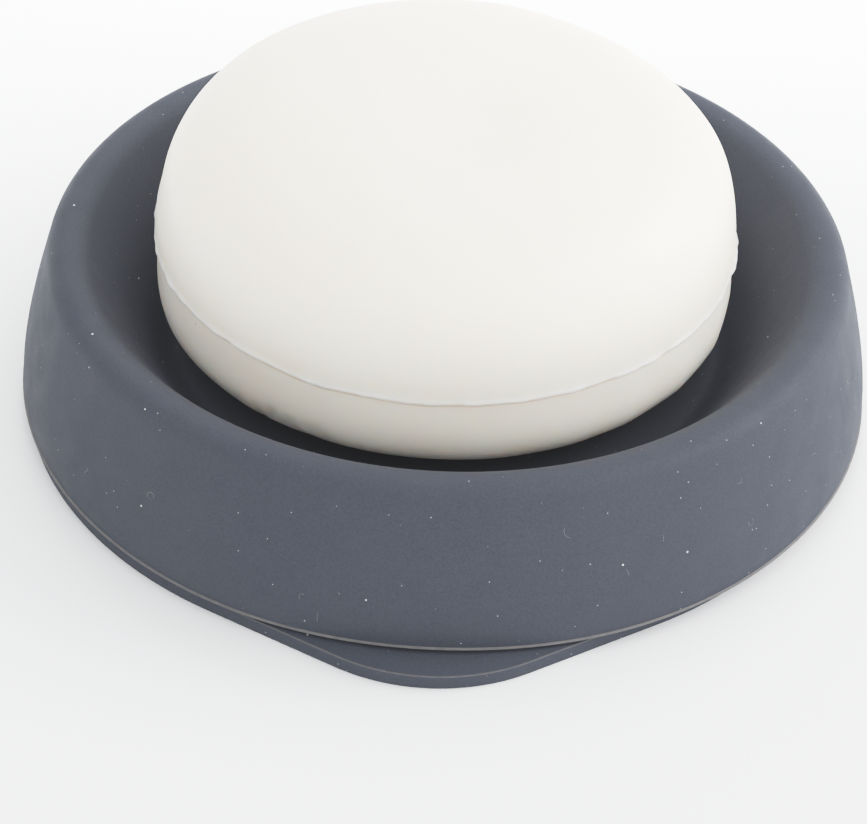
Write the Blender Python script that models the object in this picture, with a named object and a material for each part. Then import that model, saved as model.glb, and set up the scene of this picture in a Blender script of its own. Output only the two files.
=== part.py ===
"""Self-draining soap dish with a round bar of soap.

Three loose pieces stand on each other and lift apart by hand:
a teardrop drain tray with a pouring spout, a hollow domed silicone dish that stands on it,
and a pressed bar of soap that lies on the ribs inside the dish.

Metres, +Z up. The origin is on the table, under the dish's vertical axis. The spout points along -Y.
"""

import math

import bmesh
import bpy
from mathutils import Matrix, Vector

MM = 0.001
REST_GAP = 0.3 * MM  # left between two pieces where one stands on the other

# Drain tray, a round plate drawn out into a rounded spout
TRAY_RADIUS = 55.9 * MM
TRAY_THICKNESS = 2.0 * MM
SPOUT_REACH = 60.8 * MM  # from the plate's centre to the spout's tip
SPOUT_TIP_RADIUS = 23.8 * MM
FLOOR_RISE = 1.6 * MM  # how far the tray's inner floor stands above its rim at the back
FLOOR_SINK = 0.1 * MM  # how far that floor starts below the plate's top at the front, so they blend
TRAY_PLACE = (-0.9 * MM, -0.7 * MM, 0.0)  # the tray has slid a little under the dish
TRAY_TURN = math.radians(1.2)  # and its spout points a little to the other side
COLLAR_RADIUS = 52.0 * MM  # outside of the collar that keeps the dish on the tray
COLLAR_WALL = 1.8 * MM
COLLAR_HEIGHT = 2.6 * MM
COLLAR_MOUTH = 30.0 * MM  # the collar's opening towards the spout

# Dish, a shell of even wall: skirt, rounded crest, sloping bowl wall and a dished floor
WALL = 2.2 * MM
FOOT_RADIUS = 57.6 * MM
FOOT_INNER_RADIUS = 53.6 * MM  # the foot is a bead, thicker than the skirt above it
FOOT_BEAD_HEIGHT = 2.2 * MM
FOOT_Z = TRAY_THICKNESS + REST_GAP
SKIRT_LEAN = math.radians(16.8)  # the skirt leans inwards as it rises
CREST_RADIUS = 50.6 * MM
CREST_Z = 23.9 * MM
CREST_OUTER_ROUND = 2.8 * MM
CREST_INNER_ROUND = 3.6 * MM
BOWL_SLOPE = math.radians(55)  # of the bowl wall, from the level
FLOOR_EDGE_RADIUS = 36.8 * MM
FLOOR_EDGE_Z = 9.0 * MM
FLOOR_CENTRE_Z = 8.4 * MM
ARCH_HALF_ANGLE = math.radians(27)  # the skirt's foot lifts a little over the spout
ARCH_HEIGHT = 0.2 * MM

# Ribs that carry the soap, with a drain slot between each pair, and a hole on the axis
RIB_COUNT = 8
RIB_TOP_Z = 12.4 * MM
RIB_WIDTH = 3.0 * MM
RIB_INNER_RADIUS = 9.0 * MM
RIB_OUTER_RADIUS = 27.5 * MM
SLOT_WIDTH = 3.6 * MM
SLOT_INNER_RADIUS = 12.0 * MM
SLOT_OUTER_RADIUS = 26.5 * MM
CENTRE_HOLE_RADIUS = 3.6 * MM

# Soap, a domed puck with the flash line of its two-part press die round the widest place
SOAP_RADIUS = 38.75 * MM
SOAP_BOTTOM_Z = RIB_TOP_Z + REST_GAP
SOAP_BOTTOM_RADIUS = 29.3 * MM
SOAP_SEAM_Z = 24.2 * MM
SOAP_TOP_Z = 45.2 * MM  # at the middle, a hair lower than the dome round it
SOAP_PLACE = (-0.55 * MM, 1.7 * MM, 0.0)  # a loose bar seldom lies quite on the dish's axis
SEAM_STAND = 0.3 * MM
SEAM_HALF_HEIGHT = 0.8 * MM

DISH_SEGMENTS = 64
SOAP_SEGMENTS = 56


def clear_scene():
    for obj in list(bpy.data.objects):
        bpy.data.objects.remove(obj, do_unlink=True)


def make_material(name, colour, roughness):
    material = bpy.data.materials.new(name)
    material.use_nodes = True
    shader = material.node_tree.nodes["Principled BSDF"]
    shader.inputs["Base Color"].default_value = (*colour, 1.0)
    shader.inputs["Roughness"].default_value = roughness
    shader.inputs["Metallic"].default_value = 0.0
    return material


def bezier(start, handle_1, handle_2, end, steps):
    """Points of a cubic Bezier curve, both ends included."""
    points = []
    for i in range(steps + 1):
        t = i / steps
        u = 1 - t
        points.append(
            u**3 * Vector(start)
            + 3 * u * u * t * Vector(handle_1)
            + 3 * u * t * t * Vector(handle_2)
            + t**3 * Vector(end)
        )
    return points


def offset_inwards(points, distance):
    """The (radius, height) points moved to the right of the curve's direction, across the wall."""
    moved = []
    for i, point in enumerate(points):
        before = points[max(i - 1, 0)]
        after = points[min(i + 1, len(points) - 1)]
        along = (after - before).normalized()
        moved.append(point + Vector((along.y, -along.x)) * distance)
    return moved


def object_from(bm, name, material=None):
    mesh = bpy.data.meshes.new(name)
    bm.to_mesh(mesh)
    bm.free()
    obj = bpy.data.objects.new(name, mesh)
    bpy.context.scene.collection.objects.link(obj)
    if material:
        mesh.materials.append(material)
    return obj


def revolve(profile, segments):
    """A closed body turned round Z from an open (radius, height) profile whose two ends lie on the axis."""
    bm = bmesh.new()
    verts = [bm.verts.new((radius, 0.0, height)) for radius, height in profile]
    edges = [bm.edges.new(pair) for pair in zip(verts, verts[1:])]
    bmesh.ops.spin(
        bm,
        geom=verts + edges,
        cent=(0, 0, 0),
        axis=(0, 0, 1),
        angle=math.tau,
        steps=segments,
        use_merge=True,
    )
    bmesh.ops.remove_doubles(bm, verts=bm.verts, dist=0.001 * MM)
    bmesh.ops.recalc_face_normals(bm, faces=bm.faces)
    return bm


def prism(bm, outline, low, high):
    """Adds the closed prism over a plan outline to bm."""
    bottom = [bm.verts.new((x, y, low)) for x, y in outline]
    face = bm.faces.new(bottom)
    raised = bmesh.ops.extrude_face_region(bm, geom=[face])["geom"]
    top = [item for item in raised if isinstance(item, bmesh.types.BMVert)]
    bmesh.ops.translate(bm, verts=top, vec=(0, 0, high - low))
    return bottom + top


def slot_outline(inner, outer, width, end_steps=6):
    """A straight slot along +X with round ends, from radius inner to radius outer."""
    half = width / 2
    points = []
    for centre, start in ((outer - half, -math.pi / 2), (inner + half, math.pi / 2)):
        for i in range(end_steps + 1):
            angle = start + math.pi * i / end_steps
            points.append((centre + half * math.cos(angle), half * math.sin(angle)))
    return points


def circle_outline(radius, segments):
    return [
        (radius * math.cos(math.tau * i / segments), radius * math.sin(math.tau * i / segments))
        for i in range(segments)
    ]


def ring_of(outline, low, high, start_angle):
    """One cutter or tool holding RIB_COUNT copies of a prism, spaced evenly round the axis."""
    bm = bmesh.new()
    for i in range(RIB_COUNT):
        verts = prism(bm, outline, low, high)
        turn = Matrix.Rotation(start_angle + math.tau * i / RIB_COUNT, 3, "Z")
        bmesh.ops.rotate(bm, verts=verts, cent=(0, 0, 0), matrix=turn)
    bmesh.ops.recalc_face_normals(bm, faces=bm.faces)
    return bm


def helper(bm, name):
    """A Boolean tool: it shapes another piece and is no piece itself."""
    obj = object_from(bm, name)
    obj.hide_render = True
    obj.display_type = "WIRE"
    return obj


def boolean(obj, tool, operation):
    modifier = obj.modifiers.new(f"{operation.lower()}_{tool.name}", "BOOLEAN")
    modifier.operation = operation
    modifier.object = tool


def shade_round(obj):
    obj.data.shade_smooth()
    obj.data.set_sharp_from_angle(angle=math.radians(35))


def arc(centre, radius, start, end, steps):
    """Points of a circular arc in the (radius, height) plane, both ends included."""
    points = []
    for i in range(steps + 1):
        angle = start + (end - start) * i / steps
        points.append(Vector(centre) + radius * Vector((math.cos(angle), math.sin(angle))))
    return points


def dish_profile():
    """The dish's cross-section: floor, bowl wall, crest and skirt outside, then back inside the wall."""
    floor = [Vector((0, FLOOR_CENTRE_Z)), Vector((FLOOR_EDGE_RADIUS * 0.5, FLOOR_CENTRE_Z + 0.15 * MM))]
    inner_round = arc(
        (CREST_RADIUS, CREST_Z - CREST_INNER_ROUND),
        CREST_INNER_ROUND,
        math.pi / 2 + BOWL_SLOPE,
        math.pi / 2,
        3,
    )
    wall_top = inner_round[0]
    up_the_wall = Vector((math.cos(BOWL_SLOPE), math.sin(BOWL_SLOPE)))
    bowl_wall = bezier(
        (FLOOR_EDGE_RADIUS, FLOOR_EDGE_Z),
        (FLOOR_EDGE_RADIUS + 2.0 * MM, FLOOR_EDGE_Z + 0.1 * MM),
        wall_top - 11.0 * MM * up_the_wall,
        wall_top,
        5,
    )
    outer_round = arc(
        (CREST_RADIUS, CREST_Z - CREST_OUTER_ROUND), CREST_OUTER_ROUND, math.pi / 2, SKIRT_LEAN, 3
    )
    shoulder = outer_round[-1]
    skirt = bezier(
        shoulder,
        shoulder + 6.0 * MM * Vector((math.sin(SKIRT_LEAN), -math.cos(SKIRT_LEAN))),
        (FOOT_RADIUS + 0.4 * MM, FOOT_Z + 5.0 * MM),
        (FOOT_RADIUS, FOOT_Z),
        6,
    )
    outside = floor + bowl_wall + inner_round[1:] + outer_round[1:] + skirt[1:]
    inside = offset_inwards(outside[:-1], WALL)
    inside[0].x = 0.0
    foot = [
        Vector((FOOT_INNER_RADIUS, FOOT_Z)),
        Vector((FOOT_INNER_RADIUS, FOOT_Z + FOOT_BEAD_HEIGHT)),
    ]
    return outside + foot + inside[::-1]


def arch_the_foot(bm):
    """Lifts the skirt's foot in a shallow arch over the spout, so that water can pass under it."""
    for vert in bm.verts:
        beside = abs(math.atan2(vert.co.x, -vert.co.y))
        if vert.co.z < FOOT_Z + 0.1 * MM and beside < ARCH_HALF_ANGLE:
            vert.co.z += ARCH_HEIGHT * math.cos(beside / ARCH_HALF_ANGLE * math.pi / 2) ** 2


def build_dish(material):
    bm = revolve(dish_profile(), DISH_SEGMENTS)
    arch_the_foot(bm)
    dish = object_from(bm, "dish", material)

    rib_outline = slot_outline(RIB_INNER_RADIUS, RIB_OUTER_RADIUS, RIB_WIDTH, end_steps=4)
    half_step = math.pi / RIB_COUNT
    ribs = ring_of(rib_outline, FLOOR_CENTRE_Z - WALL / 2, RIB_TOP_Z, half_step)
    boolean(dish, helper(ribs, "soap_ribs"), "UNION")

    slot = slot_outline(SLOT_INNER_RADIUS, SLOT_OUTER_RADIUS, SLOT_WIDTH, end_steps=4)
    slots = ring_of(slot, FLOOR_CENTRE_Z - 2 * WALL, RIB_TOP_Z, 0.0)
    prism(slots, circle_outline(CENTRE_HOLE_RADIUS, 16), FLOOR_CENTRE_Z - 2 * WALL, RIB_TOP_Z)
    bmesh.ops.recalc_face_normals(slots, faces=slots.faces)
    boolean(dish, helper(slots, "drain_slots"), "DIFFERENCE")
    shade_round(dish)
    return dish


def tray_outline():
    """The plate's plan: the round body and the tip's circle, joined by their two outer tangents."""
    tip_centre = SPOUT_REACH - SPOUT_TIP_RADIUS
    spread = math.acos((TRAY_RADIUS - SPOUT_TIP_RADIUS) / tip_centre)
    points = []
    tip_steps, body_steps = 12, 60
    for i in range(tip_steps + 1):
        angle = -math.pi / 2 - spread + 2 * spread * i / tip_steps
        points.append(
            (SPOUT_TIP_RADIUS * math.cos(angle), SPOUT_TIP_RADIUS * math.sin(angle) - tip_centre)
        )
    for i in range(body_steps + 1):
        angle = -math.pi / 2 + spread + (math.tau - 2 * spread) * i / body_steps
        points.append((TRAY_RADIUS * math.cos(angle), TRAY_RADIUS * math.sin(angle)))
    return points


def sloping_floor():
    """A low disc inside the collar whose top falls from the back towards the spout."""
    radius = COLLAR_RADIUS - COLLAR_WALL / 2
    bm = bmesh.new()
    verts = prism(bm, circle_outline(radius, 48), TRAY_THICKNESS / 2, TRAY_THICKNESS)
    for vert in verts:
        if vert.co.z > TRAY_THICKNESS * 0.75:
            vert.co.z += FLOOR_RISE * (vert.co.y + radius) / (2 * radius) - FLOOR_SINK
    bmesh.ops.recalc_face_normals(bm, faces=bm.faces)
    return bm


def collar():
    """The upstanding ring inside the dish's foot, open towards the spout."""
    mouth = math.asin(COLLAR_MOUTH / 2 / COLLAR_RADIUS)
    steps = 48
    outer, inner = [], []
    for i in range(steps + 1):
        angle = -math.pi / 2 + mouth + (math.tau - 2 * mouth) * i / steps
        way = Vector((math.cos(angle), math.sin(angle)))
        outer.append(way * COLLAR_RADIUS)
        inner.append(way * (COLLAR_RADIUS - COLLAR_WALL))
    bm = bmesh.new()
    outline = [tuple(point) for point in outer + inner[::-1]]
    prism(bm, outline, TRAY_THICKNESS / 2, TRAY_THICKNESS + COLLAR_HEIGHT)
    bmesh.ops.recalc_face_normals(bm, faces=bm.faces)
    return bm


def build_tray(material):
    bm = bmesh.new()
    prism(bm, tray_outline(), 0.0, TRAY_THICKNESS)
    bmesh.ops.recalc_face_normals(bm, faces=bm.faces)
    tray = object_from(bm, "drain_tray", material)
    tools = [helper(sloping_floor(), "sloping_floor"), helper(collar(), "collar")]
    for piece in (tray, *tools):
        piece.location = TRAY_PLACE
        piece.rotation_euler.z = TRAY_TURN
    for tool in tools:
        boolean(tray, tool, "UNION")
    shade_round(tray)
    return tray


def soap_profile():
    """The bar's cross-section from its bottom on the axis to its top, with the flash line standing proud."""
    side = SOAP_RADIUS
    lower = bezier(
        (SOAP_BOTTOM_RADIUS, SOAP_BOTTOM_Z),
        (side + 1.9 * MM, SOAP_BOTTOM_Z),
        (side, SOAP_BOTTOM_Z + 3.5 * MM),
        (side, SOAP_SEAM_Z - SEAM_HALF_HEIGHT),
        7,
    )
    flash = [Vector((side + SEAM_STAND, SOAP_SEAM_Z))]
    upper = bezier(
        (side, SOAP_SEAM_Z + SEAM_HALF_HEIGHT),
        (side - 1.3 * MM, SOAP_SEAM_Z + 12.9 * MM),
        (34.8 * MM, SOAP_TOP_Z + 0.8 * MM),
        (0, SOAP_TOP_Z),
        10,
    )
    return [Vector((0, SOAP_BOTTOM_Z))] + lower + flash + upper


def build_soap(material):
    soap = object_from(revolve(soap_profile(), SOAP_SEGMENTS), "soap_bar", material)
    soap.location = SOAP_PLACE
    shade_round(soap)
    return soap


def main():
    clear_scene()
    silicone = make_material("grey_silicone", (0.125, 0.135, 0.165), 0.55)
    soap_cream = make_material("cream_soap", (0.90, 0.86, 0.79), 0.45)
    build_tray(silicone)
    build_dish(silicone)
    build_soap(soap_cream)


main()
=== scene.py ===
# %% [markdown]
# # A soap dish that drains itself
# The object is two soft silicone mouldings and a bar of soap. A thin tray with a spout lies on the table, a
# thick-rimmed dish stands on the tray, and the bar lies on ribs inside the dish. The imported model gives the
# sizes and places, and this lesson models each piece again with smooth rounds and gives it its finish.

# %% Load the frame
import math
import random

import bmesh
import bpy
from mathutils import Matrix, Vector
from mathutils import noise as field


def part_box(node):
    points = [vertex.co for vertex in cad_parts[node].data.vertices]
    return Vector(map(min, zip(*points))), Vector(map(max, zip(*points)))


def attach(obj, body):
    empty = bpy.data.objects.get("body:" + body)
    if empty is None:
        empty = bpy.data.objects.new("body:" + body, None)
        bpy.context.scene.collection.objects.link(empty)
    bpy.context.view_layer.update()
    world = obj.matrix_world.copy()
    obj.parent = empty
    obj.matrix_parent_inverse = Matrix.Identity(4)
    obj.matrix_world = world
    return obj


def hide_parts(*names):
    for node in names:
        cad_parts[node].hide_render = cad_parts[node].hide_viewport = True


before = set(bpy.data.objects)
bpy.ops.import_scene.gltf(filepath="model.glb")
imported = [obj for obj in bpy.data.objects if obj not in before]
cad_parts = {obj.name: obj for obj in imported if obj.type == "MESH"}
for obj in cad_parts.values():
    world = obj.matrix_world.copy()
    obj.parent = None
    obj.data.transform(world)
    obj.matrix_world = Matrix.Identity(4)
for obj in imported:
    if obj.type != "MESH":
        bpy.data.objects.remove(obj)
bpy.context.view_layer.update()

# %% [markdown]
# ## Measures
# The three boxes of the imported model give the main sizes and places. The dish's box gives its foot and its
# crest, the tray's box gives the plate, its place and the reach of its spout, and the bar's box gives its
# size and where it lies. The smaller measures are stated where they are first needed.

# %% Take the main measures from the frame
MM = 0.001
dish_low, dish_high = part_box("dish")
tray_low, tray_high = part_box("drain_tray")
soap_low, soap_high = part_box("soap_bar")

CREST_Z = dish_high.z
FOOT_Z = dish_low.z
FOOT_RADIUS = dish_high.x - 0.05 * MM  # a hair inside the box
TRAY_RADIUS = (tray_high.x - tray_low.x) / 2
TRAY_SLID = Vector(((tray_high.x + tray_low.x) / 2, tray_high.y - TRAY_RADIUS, 0))
SPOUT_REACH = TRAY_SLID.y - tray_low.y
TRAY_THICKNESS = 2.0 * MM
SOAP_RADIUS = (soap_high.x - soap_low.x) / 2
SOAP_CENTRE = Vector(((soap_high.x + soap_low.x) / 2, (soap_high.y + soap_low.y) / 2, 0))
SOAP_BOTTOM_Z = soap_low.z
SOAP_TOP_Z = soap_high.z
print(f"dish {2000 * FOOT_RADIUS:.1f} mm across, bar {2000 * SOAP_RADIUS:.1f} mm across")

# %% [markdown]
# ## Camera
# The view is from a hand's height above the table, close enough for the near rim to look larger than the
# far one. The camera is turned a little about its own axis, as a hand-held one is.

# %% Place the camera
CAMERA_ELEVATION = math.radians(37.8)
CAMERA_DISTANCE = 359.4 * MM
CAMERA_ROLL = math.radians(2.59)
CAMERA_TARGET = Vector((0, 0, 1.32 * MM))

bpy.ops.object.camera_add()
camera = bpy.context.object
camera.name = "camera"
camera.location = CAMERA_TARGET + CAMERA_DISTANCE * Vector(
    (0, -math.cos(CAMERA_ELEVATION), math.sin(CAMERA_ELEVATION))
)
camera.rotation_euler = (math.pi / 2 - CAMERA_ELEVATION, 0, 0)
camera.rotation_euler.rotate_axis("Z", CAMERA_ROLL)
camera.data.lens = 107.8
camera.data.shift_x = -0.0117
camera.data.shift_y = -0.0524
camera.data.clip_start = 0.01
bpy.context.scene.camera = camera
print("camera at", [round(v, 4) for v in camera.location], "lens", camera.data.lens)

# %% [markdown]
# ## Floor and light
# The dish stands on a plain pale sheet that runs into a bright white background. The light is that of a
# small light tent: a large soft light low on the right, one straight over the sheet behind the dish, and a
# white surround that is brighter on the right than on the left. No lamp stands in front, so the front of the
# skirt lies in soft shade and the contact shadow stays narrow. White soap beside dark silicone is a wide
# range of light, which a camera takes in by holding the highlights back. The tone curve does that with a
# soft shoulder, and it lifts the deepest shade a little.

# %% Lay the floor
bpy.ops.mesh.primitive_plane_add(size=6.0, location=(0, 0, -0.05 * MM))
floor = bpy.context.object
floor.name = "floor"
floor_paint = bpy.data.materials.new("pale_floor")
floor_paint.use_nodes = True
floor_shader = floor_paint.node_tree.nodes["Principled BSDF"]
floor_shader.inputs["Base Color"].default_value = (0.93, 0.93, 0.932, 1)
floor_shader.inputs["Roughness"].default_value = 0.9
floor_shader.inputs["Specular IOR Level"].default_value = 0.1
floor.data.materials.append(floor_paint)
print("floor", floor.dimensions[:])


# %% Hang the lights
def soft_light(name, place, aim, size, power, spread=math.pi):
    bpy.ops.object.light_add(type="AREA", location=place)
    light = bpy.context.object
    light.name = name
    light.data.shape = "DISK"
    light.data.size = size
    light.data.energy = power
    light.data.spread = spread
    light.rotation_euler = (Vector(aim) - Vector(place)).to_track_quat("-Z", "Y").to_euler()
    return light


soft_light("right_softbox", (0.80, 0.10, 0.44), (0, 0, 0.02), 0.60, 4.9)
soft_light("backdrop_softbox", (0.0, 0.50, 0.80), (0.0, 0.50, 0), 0.30, 6.0, math.radians(62))

# %% Surround the object with white, graded from left to right
WHITE_ON_THE_LEFT, WHITE_ON_THE_RIGHT = 1.22, 2.25

world = bpy.data.worlds.new("white_room")
bpy.context.scene.world = world
world.use_nodes = True
tree = world.node_tree
background = tree.nodes["Background"]
background.inputs["Color"].default_value = (0.97, 0.985, 1.0, 1)
way = tree.nodes.new("ShaderNodeTexCoord")
parts = tree.nodes.new("ShaderNodeSeparateXYZ")
grade = tree.nodes.new("ShaderNodeMapRange")
for index, value in enumerate((-0.8, 0.8, WHITE_ON_THE_LEFT, WHITE_ON_THE_RIGHT), start=1):
    grade.inputs[index].default_value = value
tree.links.new(way.outputs["Generated"], parts.inputs["Vector"])
tree.links.new(parts.outputs["X"], grade.inputs["Value"])
tree.links.new(grade.outputs["Result"], background.inputs["Strength"])
print("white from", WHITE_ON_THE_LEFT, "to", WHITE_ON_THE_RIGHT)

# %% Set the tone curve, from light in the scene to light on the screen
TONES = (  # (light in the scene, light on the screen)
    (0.0, 0.012), (0.12, 0.125), (0.45, 0.45), (0.67, 0.60), (0.93, 0.71), (1.30, 0.80), (1.64, 0.865),
    (2.08, 0.915), (2.60, 0.965), (3.20, 1.0),
)
view = bpy.context.scene.view_settings
view.view_transform = "Standard"
view.use_curve_mapping = True
brightest = TONES[-1][0]
view.curve_mapping.white_level = (brightest,) * 3
tone = view.curve_mapping.curves[3]
tone.points[0].location = TONES[0]
for light, shown in TONES[1:-1]:
    tone.points.new(light / brightest, shown)
view.curve_mapping.update()
print("tone curve through", len(tone.points), "points")


# %% [markdown]
# ## Turning a round piece
# The dish and the bar are both turned shapes. By hand this is done with one vertex that is extruded along
# the cross-section, and the chain of edges is then spun once round the axis. The two ends of the section
# lie on the axis, so that merging the doubles closes both poles.

# %% Helpers for curves in the section and for turning
def nothing_selected():
    if bpy.context.object and bpy.context.object.mode != "OBJECT":
        bpy.ops.object.mode_set(mode="OBJECT")
    bpy.ops.object.select_all(action="DESELECT")


def bezier(start, handle_1, handle_2, end, steps):
    """Points (radius, height) of a cubic curve, both ends included."""
    points = []
    for i in range(steps + 1):
        t = i / steps
        u = 1 - t
        points.append(
            u**3 * Vector(start)
            + 3 * u * u * t * Vector(handle_1)
            + 3 * u * t * t * Vector(handle_2)
            + t**3 * Vector(end)
        )
    return points


def arc(centre, radius, start, end, steps):
    """Points of an arc in the section, both ends included."""
    points = []
    for i in range(steps + 1):
        angle = start + (end - start) * i / steps
        points.append(Vector(centre) + radius * Vector((math.cos(angle), math.sin(angle))))
    return points


def turned(name, section, segments):
    """Extrudes one vertex along the section and spins the chain round the Z axis into a closed piece."""
    nothing_selected()
    bpy.ops.mesh.primitive_plane_add(size=MM, location=(section[0].x, 0, section[0].y))
    piece = bpy.context.object
    piece.name = name
    bpy.ops.object.transform_apply(location=True)
    bpy.ops.object.mode_set(mode="EDIT")
    bpy.ops.mesh.select_all(action="SELECT")
    bpy.ops.mesh.merge(type="CENTER")
    for here, there in zip(section, section[1:]):
        step = there - here
        bpy.ops.mesh.extrude_region_move(TRANSFORM_OT_translate={"value": (step.x, 0, step.y)})
    bpy.ops.mesh.select_all(action="SELECT")
    bpy.ops.mesh.spin(steps=segments, angle=math.tau, center=(0, 0, 0), axis=(0, 0, 1))
    bpy.ops.mesh.select_all(action="SELECT")
    bpy.ops.mesh.remove_doubles(threshold=0.002 * MM)
    bpy.ops.mesh.normals_make_consistent(inside=False)
    bpy.ops.object.mode_set(mode="OBJECT")
    bpy.ops.object.shade_smooth()
    print(name, "turned:", len(piece.data.vertices), "vertices")
    return piece


# %% [markdown]
# ## The dish
# A shell of even wall: a skirt that leans inwards as it rises, a rounded crest, a sloping bowl wall and a
# dished floor. The section is drawn from the floor's centre over the crest to the foot, and comes back
# inside the wall at one wall's thickness. At the foot the skirt ends in a lip a quarter of a millimetre
# wide, as a moulding keeps where its die parts. The lip faces up, so it catches light as a fine pale line,
# and its finish is lighter than the silicone, which paints in more of that highlight.

# %% Draw the dish's section
WALL = 2.2 * MM
FOOT_INNER_RADIUS = 53.6 * MM
FOOT_BEAD_HEIGHT = 2.2 * MM
LIP_HIGH = 0.42 * MM
LIP_WIDE = 0.24 * MM
SKIRT_LEAN = math.radians(16.8)
BOWL_SLOPE = math.radians(55)
CREST_RADIUS = 50.6 * MM
CREST_OUTER_ROUND = 2.8 * MM
CREST_INNER_ROUND = 3.6 * MM
FLOOR_EDGE_RADIUS = 36.8 * MM
FLOOR_EDGE_Z = 9.0 * MM
FLOOR_CENTRE_Z = 8.4 * MM


def across_the_wall(points, distance):
    """The points moved square to the curve, into the wall."""
    moved = []
    for i, point in enumerate(points):
        along = (points[min(i + 1, len(points) - 1)] - points[max(i - 1, 0)]).normalized()
        moved.append(point + Vector((along.y, -along.x)) * distance)
    return moved


def skirt_line():
    """The outer face of the skirt, from the crest's shoulder down to the lip."""
    out_and_down = Vector((math.sin(SKIRT_LEAN), -math.cos(SKIRT_LEAN)))
    shoulder = Vector((CREST_RADIUS, CREST_Z - CREST_OUTER_ROUND)) + CREST_OUTER_ROUND * Vector(
        (math.cos(SKIRT_LEAN), math.sin(SKIRT_LEAN))
    )
    return bezier(
        shoulder,
        shoulder + 6.0 * MM * out_and_down,
        (FOOT_RADIUS + 0.1 * MM, FOOT_Z + 5.0 * MM),
        (FOOT_RADIUS - LIP_WIDE, FOOT_Z + LIP_HIGH),
        16,
    )


def dish_section():
    floor_rise = FLOOR_EDGE_Z - FLOOR_CENTRE_Z
    floor_line = [
        Vector((FLOOR_EDGE_RADIUS * i / 12, FLOOR_CENTRE_Z + floor_rise * (i / 12) ** 2))
        for i in range(12)
    ]
    inner_round = arc(
        (CREST_RADIUS, CREST_Z - CREST_INNER_ROUND),
        CREST_INNER_ROUND,
        math.pi / 2 + BOWL_SLOPE,
        math.pi / 2,
        9,
    )
    wall_top = inner_round[0]
    up_the_wall = Vector((math.cos(BOWL_SLOPE), math.sin(BOWL_SLOPE)))
    bowl_wall = bezier(
        (FLOOR_EDGE_RADIUS, FLOOR_EDGE_Z),
        (FLOOR_EDGE_RADIUS + 2.0 * MM, FLOOR_EDGE_Z + 0.1 * MM),
        wall_top - 11.0 * MM * up_the_wall,
        wall_top,
        18,
    )
    outer_round = arc(
        (CREST_RADIUS, CREST_Z - CREST_OUTER_ROUND), CREST_OUTER_ROUND, math.pi / 2, SKIRT_LEAN, 8
    )
    outside = floor_line + bowl_wall + inner_round[1:] + outer_round[1:] + skirt_line()[1:]
    inside = across_the_wall(outside, WALL)
    inside[0].x = 0.0
    foot = [
        Vector((FOOT_RADIUS - 0.05 * MM, FOOT_Z + LIP_HIGH - 0.10 * MM)),
        Vector((FOOT_RADIUS, FOOT_Z + 0.20 * MM)),
        Vector((FOOT_RADIUS - 0.10 * MM, FOOT_Z + 0.04 * MM)),
        Vector((FOOT_RADIUS - 0.35 * MM, FOOT_Z)),
        Vector((FOOT_INNER_RADIUS, FOOT_Z)),
        Vector((FOOT_INNER_RADIUS, FOOT_Z + FOOT_BEAD_HEIGHT)),
    ]
    return outside + foot + inside[:-1][::-1]


dish = turned("dish_shell", dish_section(), 176)

# %% [markdown]
# The foot doesn't touch the spout: over it the edge lifts by a hair in a shallow arch, so that water can
# run out. The ribs and slots of the floor come next, each modelled once and copied round the axis.

# %% Arch the foot over the spout
ARCH_HALF_ANGLE = math.radians(27)
ARCH_HEIGHT = 0.2 * MM
for vertex in dish.data.vertices:
    beside = abs(math.atan2(vertex.co.x, -vertex.co.y))
    at_foot = vertex.co.z < FOOT_Z + 1.2 * LIP_HIGH and vertex.co.xy.length > FOOT_INNER_RADIUS - MM
    if at_foot and beside < ARCH_HALF_ANGLE:
        vertex.co.z += ARCH_HEIGHT * math.cos(beside / ARCH_HALF_ANGLE * math.pi / 2) ** 2
print("foot arched by", ARCH_HEIGHT / MM, "mm at the front")

# %% Helpers for copies and for joining and cutting
RIB_COUNT = 8


def copied_round(piece, count, first_angle):
    """Turns copies of a piece round the Z axis, each with its own mesh, and joins them into it."""
    copies = []
    for i in range(count):
        copy = piece.copy()
        copy.data = piece.data.copy()
        bpy.context.scene.collection.objects.link(copy)
        copy.rotation_euler.z = first_angle + math.tau * i / count
        copies.append(copy)
    bpy.data.objects.remove(piece)
    nothing_selected()
    for copy in copies:
        copy.select_set(True)
    bpy.context.view_layer.objects.active = copies[0]
    bpy.ops.object.join()
    bpy.ops.object.transform_apply(location=True, rotation=True, scale=True)
    return bpy.context.object


def combine(piece, tool, operation):
    """Applies a Boolean with the tool, and removes the tool."""
    nothing_selected()
    piece.select_set(True)
    bpy.context.view_layer.objects.active = piece
    modifier = piece.modifiers.new(operation.lower(), "BOOLEAN")
    modifier.operation = operation
    modifier.object = tool
    modifier.solver = "EXACT"
    bpy.ops.object.modifier_apply(modifier=modifier.name)
    bpy.data.objects.remove(tool)
    return piece


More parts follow.
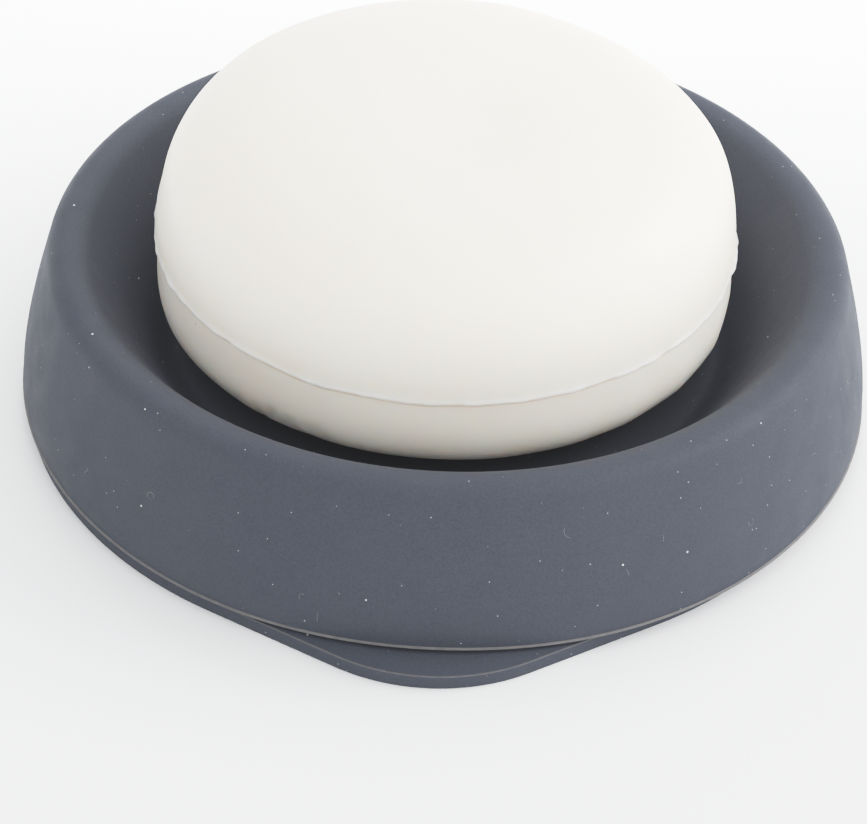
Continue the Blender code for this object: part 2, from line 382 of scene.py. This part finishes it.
def stadium(name, inner, outer, width, low, high, soften):
    """A bar with round ends along +X: a block whose upright edges, then its top edges, are bevelled."""
    nothing_selected()
    bpy.ops.mesh.primitive_cube_add(size=1, location=((inner + outer) / 2, 0, (low + high) / 2))
    bar = bpy.context.object
    bar.name = name
    bar.scale = (outer - inner, width, high - low)
    bpy.ops.object.transform_apply(location=True, scale=True)
    bpy.ops.object.mode_set(mode="EDIT")
    bpy.ops.mesh.select_all(action="DESELECT")
    form = bmesh.from_edit_mesh(bar.data)
    for edge in form.edges:
        upright = abs(edge.verts[0].co.z - edge.verts[1].co.z) > (high - low) / 2
        edge.select_set(upright)
    bmesh.update_edit_mesh(bar.data)
    bpy.ops.mesh.bevel(offset=width * 0.495, segments=8, affect="EDGES")
    if soften:
        bpy.ops.mesh.select_all(action="DESELECT")
        form = bmesh.from_edit_mesh(bar.data)
        for face in form.faces:
            face.select_set(all(v.co.z > high - 0.01 * MM for v in face.verts))
        bmesh.update_edit_mesh(bar.data)
        bpy.ops.mesh.region_to_loop()
        bpy.ops.mesh.bevel(offset=soften, segments=4, affect="EDGES")
    bpy.ops.object.mode_set(mode="OBJECT")
    return bar


# %% Add the ribs and cut the drain slots
RIB_TOP_Z = SOAP_BOTTOM_Z - 0.3 * MM
RIB_FROM, RIB_TO, RIB_WIDTH, RIB_ROUND = 9.0 * MM, 27.5 * MM, 3.0 * MM, 0.9 * MM
SLOT_FROM, SLOT_TO, SLOT_WIDTH = 12.0 * MM, 26.5 * MM, 3.6 * MM
CENTRE_HOLE_RADIUS = 3.6 * MM
UNDER_THE_FLOOR = FLOOR_CENTRE_Z - 2 * WALL

rib = stadium("rib", RIB_FROM, RIB_TO, RIB_WIDTH, FLOOR_CENTRE_Z - WALL / 2, RIB_TOP_Z, RIB_ROUND)
combine(dish, copied_round(rib, RIB_COUNT, math.pi / RIB_COUNT), "UNION")
slot = stadium("slot", SLOT_FROM, SLOT_TO, SLOT_WIDTH, UNDER_THE_FLOOR, RIB_TOP_Z, 0)
combine(dish, copied_round(slot, RIB_COUNT, 0.0), "DIFFERENCE")
nothing_selected()
bpy.ops.mesh.primitive_cylinder_add(
    vertices=40, radius=CENTRE_HOLE_RADIUS, depth=4 * WALL, location=(0, 0, FLOOR_CENTRE_Z)
)
combine(dish, bpy.context.object, "DIFFERENCE")
nothing_selected()
dish.select_set(True)
bpy.context.view_layer.objects.active = dish
bpy.ops.object.shade_smooth_by_angle(angle=math.radians(32))
print("dish:", len(dish.data.polygons), "faces")

# %% [markdown]
# ## The tray
# A thin plate with the plan of a drop. A large disc under the dish and a small one at the tip of the spout
# are wrapped in their convex hull, which draws the straight flanks between them. The plate's edges get a
# hair of bevel, which catches a fine line of light, and the bevel's finish is lighter, which paints in more
# of that highlight. A collar inside the dish's foot, open to the spout, keeps the dish in place, and the
# floor inside it falls towards the spout.

# %% Wrap two discs into the plate
SPOUT_TIP_RADIUS = 23.8 * MM
TRAY_TURN = math.radians(1.2)
TRAY_EDGE = 0.15 * MM


def disc(radius, place_y, low, high, vertices):
    nothing_selected()
    bpy.ops.mesh.primitive_cylinder_add(
        vertices=vertices, radius=radius, depth=high - low, location=(0, place_y, (low + high) / 2)
    )
    return bpy.context.object


tip = disc(SPOUT_TIP_RADIUS, SPOUT_TIP_RADIUS - SPOUT_REACH, 0, TRAY_THICKNESS, 120)
tray = disc(TRAY_RADIUS, 0, 0, TRAY_THICKNESS, 200)
tray.name = "tray_plate"
tip.select_set(True)
bpy.ops.object.join()
bpy.ops.object.transform_apply(location=True)
bpy.ops.object.mode_set(mode="EDIT")
bpy.ops.mesh.select_all(action="SELECT")
bpy.ops.mesh.convex_hull()
bpy.ops.mesh.select_all(action="SELECT")
bpy.ops.mesh.dissolve_limited(angle_limit=math.radians(0.3))
bpy.ops.mesh.select_all(action="DESELECT")
form = bmesh.from_edit_mesh(tray.data)
for face in form.faces:
    face.select_set(abs(face.normal.z) > 0.9)
bmesh.update_edit_mesh(tray.data)
bpy.ops.mesh.region_to_loop()
bpy.ops.mesh.bevel(offset=TRAY_EDGE, segments=2, affect="EDGES")
bpy.ops.object.mode_set(mode="OBJECT")
print("plate:", len(tray.data.polygons), "faces")

# %% Raise the collar and the sloping floor
COLLAR_RADIUS = 52.0 * MM
COLLAR_WALL = 1.8 * MM
COLLAR_TOP = tray_high.z
COLLAR_MOUTH = 30.0 * MM
FLOOR_RISE = 1.6 * MM
FLOOR_SINK = 0.1 * MM  # the floor starts this far below the plate's top, so that the two blend

collar = disc(COLLAR_RADIUS, 0, TRAY_THICKNESS / 2, COLLAR_TOP, 160)
combine(collar, disc(COLLAR_RADIUS - COLLAR_WALL, 0, 0, 2 * COLLAR_TOP, 160), "DIFFERENCE")
nothing_selected()
bpy.ops.mesh.primitive_cube_add(size=COLLAR_MOUTH, location=(0, -COLLAR_RADIUS, 0))
combine(collar, bpy.context.object, "DIFFERENCE")
combine(tray, collar, "UNION")

slope_radius = COLLAR_RADIUS - COLLAR_WALL / 2
slope = disc(slope_radius, 0, TRAY_THICKNESS / 2, TRAY_THICKNESS, 160)
bpy.ops.object.transform_apply(location=True)
for vertex in slope.data.vertices:
    if vertex.co.z > 0.75 * TRAY_THICKNESS:
        vertex.co.z += FLOOR_RISE * (vertex.co.y + slope_radius) / (2 * slope_radius) - FLOOR_SINK
combine(tray, slope, "UNION")
nothing_selected()
tray.select_set(True)
bpy.context.view_layer.objects.active = tray
bpy.ops.object.shade_smooth_by_angle(angle=math.radians(32))
tray.location = TRAY_SLID
tray.rotation_euler.z = TRAY_TURN
bpy.ops.object.transform_apply(location=True, rotation=True)
print("tray:", len(tray.data.polygons), "faces")

# %% [markdown]
# ## The bar of soap
# The bar is pressed between two dies, so it has a domed top, a flatter foot, and a thin ragged flash where
# the dies met. It is turned like the dish, with close rows at the flash, and then its surface is worked.

# %% Turn the bar
SEAM_Z = 24.2 * MM
SOAP_SIDE = SOAP_RADIUS - 0.62 * MM
SOAP_LOWER_SIDE = SOAP_RADIUS - 0.36 * MM
SOAP_BOTTOM_RADIUS = 29.3 * MM
FLASH_STAND = 0.58 * MM
FLASH = (  # (how far it stands out, as a share, and its height from the seam in mm)
    (0.0, -0.62), (0.0, -0.42), (-0.30, -0.30), (0.05, -0.22), (0.60, -0.16), (0.95, -0.06), (1.0, 0.06),
    (0.93, 0.18), (0.74, 0.30), (0.50, 0.44), (0.33, 0.62), (0.25, 0.86), (0.19, 1.2), (0.10, 1.7),
)


def soap_section():
    bottom = [Vector((SOAP_BOTTOM_RADIUS * i / 10, SOAP_BOTTOM_Z)) for i in range(10)]
    lower = bezier(
        (SOAP_BOTTOM_RADIUS, SOAP_BOTTOM_Z),
        (SOAP_LOWER_SIDE + 1.9 * MM, SOAP_BOTTOM_Z),
        (SOAP_LOWER_SIDE, SOAP_BOTTOM_Z + 3.5 * MM),
        (SOAP_SIDE, SEAM_Z - 0.9 * MM),
        30,
    )
    flash = [Vector((SOAP_SIDE + out * FLASH_STAND, SEAM_Z + up * MM)) for out, up in FLASH]
    upper = bezier(
        (SOAP_SIDE + 0.02 * MM, SEAM_Z + 2.2 * MM),
        (SOAP_SIDE - 0.95 * MM, SEAM_Z + 12.9 * MM),
        (34.7 * MM, SOAP_TOP_Z + 0.65 * MM),
        (0, SOAP_TOP_Z - 0.12 * MM),
        46,
    )
    return bottom + lower + flash + upper


soap = turned("soap", soap_section(), 448)

# %% [markdown]
# A pressed bar is never quite round. Its flash wanders up and down and stands out more in one place than in
# the next, the side below it and the dome have been flattened by handling, the foot is chipped in front, and
# a shallow hollow has been pressed in the top. Each is worked into the mesh as a sculptor would, with smooth
# noise. How much of a point is flash, and which points lie in the shade just under it, is kept as attributes;
# the finish reads them and paints that shade as a brown line.

# %% Work the bar
def eased(value, low, high):
    """0 below low, 1 above high, and a soft ramp between them."""
    t = min(max((value - low) / (high - low), 0.0), 1.0)
    return t * t * (3 - 2 * t)


def ragged(spot, lump):
    """Smooth noise from about -1 to 1 at a place on the bar, in lumps of that length."""
    return field.noise(spot / lump)


FLASH_LONG_WAVE, FLASH_SHORT_WAVE = 0.42 * MM, 0.16 * MM
CHIPS_AT, CHIPS_HALF, CHIPS_BELOW, CHIP_DEPTH = -121.0, 13.0, 8.4, 0.55 * MM
FLATS_FROM, FLATS_TO, FLAT_STEP, FLAT_DEPTH = -66.0, 12.0, 15.0, 0.17 * MM
HOLLOW_CENTRE = Vector((2.0, -7.5)) * MM
HOLLOW_RADIUS, HOLLOW_DEPTH = 13.0 * MM, 0.50 * MM
PRESSED = (  # places where a hand has flattened the dome: azimuth and elevation in degrees, depth in mm
    (40.0, 36.0, 0.42), (178.0, 20.0, 0.28),
)
flash_share, under_flash_shade_share = [], []
for vertex in soap.data.vertices:
    spot = vertex.co.copy()
    radius = spot.xy.length
    if radius < 0.01 * MM:
        flash_share.append(0.0)
        under_flash_shade_share.append(0.0)
        continue
    way = spot.xy / radius
    ring = Vector((way.x, way.y, 0)) * SOAP_SIDE
    angle = math.degrees(math.atan2(way.y, way.x))
    above = (spot.z - SEAM_Z) / MM
    by_the_flash = 1 - eased(abs(above), 1.2, 5.0)
    wave = FLASH_LONG_WAVE * ragged(ring, 11 * MM) + FLASH_SHORT_WAVE * ragged(ring, 2.6 * MM)
    spot.z += by_the_flash * wave
    standing = max((radius - SOAP_SIDE) / FLASH_STAND, 0.0) if -0.3 < above < 1.8 else 0.0
    thick = min(max(0.66 + 0.55 * ragged(ring * 1.3, 6 * MM) + 0.35 * ragged(ring, 1.7 * MM), 0.12), 1.0)
    radius -= standing * (1 - thick) * FLASH_STAND
    flash_share.append(standing * thick)
    # Points in the band just under the flash, where the finish paints the flash's shadow in brown.
    under_flash_shade_share.append(1.0 if -0.45 < above < -0.1 else 0.0)
    lower_side = 1 - eased(above, -4.0, -0.9)
    radius += lower_side * MM * (0.16 * ragged(spot, 13 * MM) - 0.10)
    if FLATS_FROM < angle < FLATS_TO:
        along = (angle - FLATS_FROM) / FLAT_STEP
        fade = eased(angle, FLATS_FROM, FLATS_FROM + 14) * (1 - eased(angle, FLATS_TO - 14, FLATS_TO))
        radius -= lower_side * fade * FLAT_DEPTH * math.sin(math.pi * (along % 1.0))
    chipped = max(0.0, 1 - abs(angle - CHIPS_AT) / CHIPS_HALF)
    chipped *= 1 - eased(abs(above + CHIPS_BELOW), 0.9, 2.2)
    radius -= chipped * CHIP_DEPTH * max(0.0, 0.2 + 1.3 * ragged(spot, 1.5 * MM))
    radius += 0.03 * MM * ragged(spot, 4.5 * MM)
    hollow = (spot.xy - HOLLOW_CENTRE).length / HOLLOW_RADIUS
    if above > 12:
        spot.z -= HOLLOW_DEPTH * (1 - eased(hollow, 0.25, 1.0))
    facing = Vector((spot.x, spot.y, spot.z - SEAM_Z)).normalized()
    for azimuth, elevation, depth in PRESSED if above > 2.2 else ():
        level, up = math.cos(math.radians(elevation)), math.sin(math.radians(elevation))
        turn = math.radians(azimuth)
        near = facing.dot(Vector((math.cos(turn) * level, math.sin(turn) * level, up)))
        pressed = depth * MM * eased(near, 0.82, 0.99) * eased(above, 2.2, 6.0)
        radius -= pressed * level
        spot.z -= pressed * up
    vertex.co = Vector((way.x * radius, way.y * radius, spot.z))
for name, shares in (("flash", flash_share), ("under_flash_shade", under_flash_shade_share)):
    layer = soap.data.attributes.new(name, "FLOAT", "POINT")
    layer.data.foreach_set("value", shares)
soap.location = SOAP_CENTRE
nothing_selected()
soap.select_set(True)
bpy.context.view_layer.objects.active = soap
bpy.ops.object.transform_apply(location=True)
print("bar:", len(soap.data.polygons), "faces, flash worked on", sum(f > 0 for f in flash_share), "vertices")

# %% [markdown]
# ## Lint and fibres
# Silicone clings to dust. Besides fine specks, which the finish gives, a few curled fibres lie on the
# skirt. Each is a thin tube bent along a path over the skirt's face, made as a curve and then a mesh.

# %% Lay curled fibres on the skirt
FIBRE_RADIUS = 0.015 * MM
FIBRE_COUNT = 34


def on_the_skirt(across, down):
    """The place on the skirt's face that lies that far round the foot and that far below the shoulder."""
    line = skirt_line()
    left = down
    for here, there in zip(line, line[1:]):
        span = (there - here).length
        if left <= span or there is line[-1]:
            break
        left -= span
    along = (there - here).normalized()
    outwards = Vector((-along.y, along.x))
    spot = here + along * min(left, span) + outwards * 0.012 * MM
    angle = across / FOOT_RADIUS
    return Vector((spot.x * math.cos(angle), spot.x * math.sin(angle), spot.y))


random.seed(11)
fibres = bpy.data.curves.new("fibres", "CURVE")
fibres.dimensions = "3D"
fibres.bevel_depth = FIBRE_RADIUS
fibres.bevel_resolution = 0
fibres.use_fill_caps = True
for _ in range(FIBRE_COUNT):
    across = math.tau * FOOT_RADIUS * random.random()
    down = random.uniform(2.5, 17.0) * MM
    heading = random.uniform(0, math.tau)
    curl = random.choice((-1, 1)) * random.uniform(0.03, 0.38)
    step = random.uniform(0.10, 0.22) * MM
    path = []
    for i in range(random.randint(7, 15)):
        path.append(on_the_skirt(across, down))
        across += step * math.cos(heading)
        down = min(max(down + step * math.sin(heading), 0.3 * MM), 19.0 * MM)
        heading += curl + random.uniform(-0.12, 0.12)
    spline = fibres.splines.new("POLY")
    spline.points.add(len(path) - 1)
    for point, spot in zip(spline.points, path):
        point.co = (*spot, 1)
lint = bpy.data.objects.new("lint", fibres)
bpy.context.scene.collection.objects.link(lint)
nothing_selected()
lint.select_set(True)
bpy.context.view_layer.objects.active = lint
bpy.ops.object.convert(target="MESH")
lint = bpy.context.object
print("lint:", len(lint.data.polygons), "faces")

# %% [markdown]
# ## Finishes
# Moulded silicone is matte and picks up dust, so its finish has a fine grain, a drifting tint and pale
# specks. The soap lets light a little way in, so its finish has subsurface scattering, with a few brown
# pores, a brown painted shadow under the flash, and a glossier flash. The dish's lip and the plate's edge get
# lighter finishes, which paint in highlights.

# %% Helpers for node finishes
def new_finish(name):
    finish = bpy.data.materials.new(name)
    finish.use_nodes = True
    return finish, finish.node_tree.nodes["Principled BSDF"]


def add(finish, kind, attributes=None, **sockets):
    """Adds a node and sets its attributes and sockets. A socket given another node's output is linked."""
    node = finish.node_tree.nodes.new(kind)
    for key, value in (attributes or {}).items():
        setattr(node, key, value)
    for key, value in sockets.items():
        socket = node.inputs[int(key[1:])] if key[0] == "s" and key[1:].isdigit() else node.inputs[key]
        join(finish, value, socket)
    return node


def join(finish, value, socket):
    if isinstance(value, bpy.types.NodeSocket):
        finish.node_tree.links.new(value, socket)
    else:
        socket.default_value = value


def noise(finish, scale, detail=2.0, roughness=0.5):
    """Noise on the piece's own metres, so that it doesn't stretch. Scale is lumps to the metre."""
    place = add(finish, "ShaderNodeTexCoord").outputs["Object"]
    return add(
        finish, "ShaderNodeTexNoise", Vector=place, Scale=scale, Detail=detail, Roughness=roughness
    ).outputs["Fac"]


def between(finish, value, low, high, out_low=0.0, out_high=1.0):
    """Stretches the values between low and high to the span of out_low and out_high, and clamps them."""
    return add(
        finish, "ShaderNodeMapRange", s0=value, s1=low, s2=high, s3=out_low, s4=out_high
    ).outputs["Result"]


def blended(finish, amount, colour_a, colour_b):
    mix = add(finish, "ShaderNodeMix", {"data_type": "RGBA"})
    join(finish, amount, mix.inputs["Factor"])
    for index, colour in ((6, colour_a), (7, colour_b)):
        join(finish, colour if isinstance(colour, bpy.types.NodeSocket) else (*colour, 1), mix.inputs[index])
    return mix.outputs[2]


def dots(finish, cell, size, share):
    """A mask of small round dots: one in each cell of that width, shown in only a share of the cells."""
    place = add(finish, "ShaderNodeTexCoord").outputs["Object"]
    cells = add(finish, "ShaderNodeTexVoronoi", Vector=place, Scale=1 / cell)
    near = between(finish, cells.outputs["Distance"], 0.6 * size / cell, size / cell, 1.0, 0.0)
    pick = add(finish, "ShaderNodeSeparateColor", Color=cells.outputs["Color"]).outputs["Red"]
    chosen = add(finish, "ShaderNodeMath", {"operation": "LESS_THAN"}, s0=pick, s1=share).outputs[0]
    return add(finish, "ShaderNodeMath", {"operation": "MULTIPLY"}, s0=near, s1=chosen).outputs[0]


def bumped(finish, shader, *layers):
    """Stacks bump layers, each a (height, depth in metres, strength), on the shader's normal."""
    normal = None
    for height, depth, strength in layers:
        bump = add(finish, "ShaderNodeBump", Height=height, Distance=depth, Strength=strength)
        if normal:
            join(finish, normal, bump.inputs["Normal"])
        normal = bump.outputs["Normal"]
    join(finish, normal, shader.inputs["Normal"])


# %% Silicone
DUST = (0.60, 0.60, 0.59)


def silicone(name, colour, lighter, dusty=1.0):
    finish, shader = new_finish(name)
    handled = between(finish, noise(finish, 38.0, 4.0, 0.6), 0.35, 0.7)
    grain = between(finish, noise(finish, 3600.0, 2.0, 0.7), 0.3, 0.7, 0.86, 1.14)
    body = blended(finish, handled, colour, lighter)
    body = add(finish, "ShaderNodeVectorMath", {"operation": "SCALE"}, s0=body, Scale=grain).outputs[0]
    fine_dust = dots(finish, 1.5 * MM, 0.10 * MM, 0.6)
    big_dust = dots(finish, 4.2 * MM, 0.17 * MM, 0.5)
    fine_veil = add(finish, "ShaderNodeMath", {"operation": "MULTIPLY"}, s0=fine_dust, s1=0.55).outputs[0]
    specks = add(
        finish, "ShaderNodeMath", {"operation": "MAXIMUM"}, s0=fine_veil, s1=big_dust
    ).outputs[0]
    veil = add(finish, "ShaderNodeMath", {"operation": "MULTIPLY"}, s0=specks, s1=dusty).outputs[0]
    join(finish, blended(finish, veil, body, DUST), shader.inputs["Base Color"])
    join(finish, between(finish, noise(finish, 260.0, 3.0), 0.3, 0.7, 0.56, 0.66), shader.inputs["Roughness"])
    shader.inputs["Specular IOR Level"].default_value = 0.25
    bumped(
        finish,
        shader,
        (noise(finish, 3200.0, 3.0), 0.05 * MM, 0.35),
        (noise(finish, 420.0, 2.0), 0.08 * MM, 0.12),
    )
    return finish


# %% Soap
def painted(finish, name):
    """The value that was worked into the mesh under that name."""
    return add(finish, "ShaderNodeAttribute", {"attribute_name": name}).outputs["Fac"]


def soap_finish(name, roughness):
    finish, shader = new_finish(name)
    cloudy = between(finish, noise(finish, 60.0, 3.0, 0.55), 0.3, 0.75)
    body = blended(finish, cloudy, (0.945, 0.858, 0.755), (0.925, 0.834, 0.720))
    # Painted shadow: the band under the flash is darkened to brown, for the shade that the flash casts there.
    under_flash_shade = between(finish, painted(finish, "under_flash_shade"), 0.1, 0.9, 0.0, 0.55)
    body = blended(finish, under_flash_shade, body, (0.62, 0.47, 0.34))
    pores = dots(finish, 5.5 * MM, 0.13 * MM, 0.35)
    join(finish, blended(finish, pores, body, (0.30, 0.22, 0.14)), shader.inputs["Base Color"])
    glossy = between(finish, painted(finish, "flash"), 0.1, 0.9, roughness, 0.24)
    join(finish, glossy, shader.inputs["Roughness"])
    shader.inputs["Subsurface Weight"].default_value = 1.0
    shader.inputs["Subsurface Radius"].default_value = (1.0, 0.82, 0.66)
    shader.inputs["Subsurface Scale"].default_value = 3.6 * MM
    bumped(
        finish,
        shader,
        (noise(finish, 1700.0, 3.0), 0.03 * MM, 0.30),
        (noise(finish, 130.0, 2.0), 0.25 * MM, 0.25),
    )
    return finish


# %% Painted highlights on the edges, and fibres
def dull(name, colour, lighter, roughness):
    """A dry surface whose colour drifts a little from place to place."""
    finish, shader = new_finish(name)
    drift = between(finish, noise(finish, 900.0, 3.0, 0.6), 0.3, 0.7)
    join(finish, blended(finish, drift, colour, lighter), shader.inputs["Base Color"])
    shader.inputs["Roughness"].default_value = roughness
    return finish


def second_finish(piece, finish, chosen):
    """Gives the faces that chosen picks, by centre and normal, a second finish."""
    piece.data.materials.append(finish)
    index = len(piece.data.materials) - 1
    count = 0
    for face in piece.data.polygons:
        if chosen(face.center, face.normal):
            face.material_index = index
            count += 1
    print(piece.name, "has", count, "faces of", finish.name)


dish.data.materials.append(silicone("grey_silicone", (0.043, 0.049, 0.065), (0.048, 0.053, 0.068)))
tray.data.materials.append(silicone("tray_silicone", (0.042, 0.048, 0.064), (0.047, 0.052, 0.067)))
soap.data.materials.append(soap_finish("cream_soap", 0.42))
lint.data.materials.append(dull("pale_fibre", (0.22, 0.22, 0.215), (0.34, 0.335, 0.32), 0.8))

# Painted highlight: the up-facing lip gets a finish about twice as light as the silicone, to brighten the
# line of light it catches.
lip_highlight_finish = dull("parting_lip_highlight", (0.090, 0.086, 0.088), (0.125, 0.118, 0.118), 0.5)
second_finish(
    dish,
    lip_highlight_finish,
    lambda c, n: c.xy.length > FOOT_RADIUS - 1.1 * LIP_WIDE
    and FOOT_Z + 0.15 * MM < c.z < FOOT_Z + ARCH_HEIGHT + LIP_HIGH
    and n.z > 0.12,
)
# Painted highlight: the bevel round the plate's top gets a lighter finish, to brighten the line of light it
# catches.
second_finish(
    tray,
    dull("plate_edge_highlight", (0.065, 0.063, 0.068), (0.090, 0.086, 0.090), 0.5),
    lambda c, n: c.z > TRAY_THICKNESS - 1.1 * TRAY_EDGE and 0.25 < n.z < 0.93
    and (c - TRAY_SLID).xy.length > COLLAR_RADIUS + MM,
)
for piece, body, node, finish_slot in (
    (tray, "tray_body", "drain_tray", "tray_silicone"),
    (dish, "dish_body", "dish", "dish_silicone"),
    (soap, "soap_body", "soap_bar", "soap"),
):
    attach(piece, body)
    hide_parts(node)
    print(piece.name, "rides on", body)
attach(lint, "dish_body")
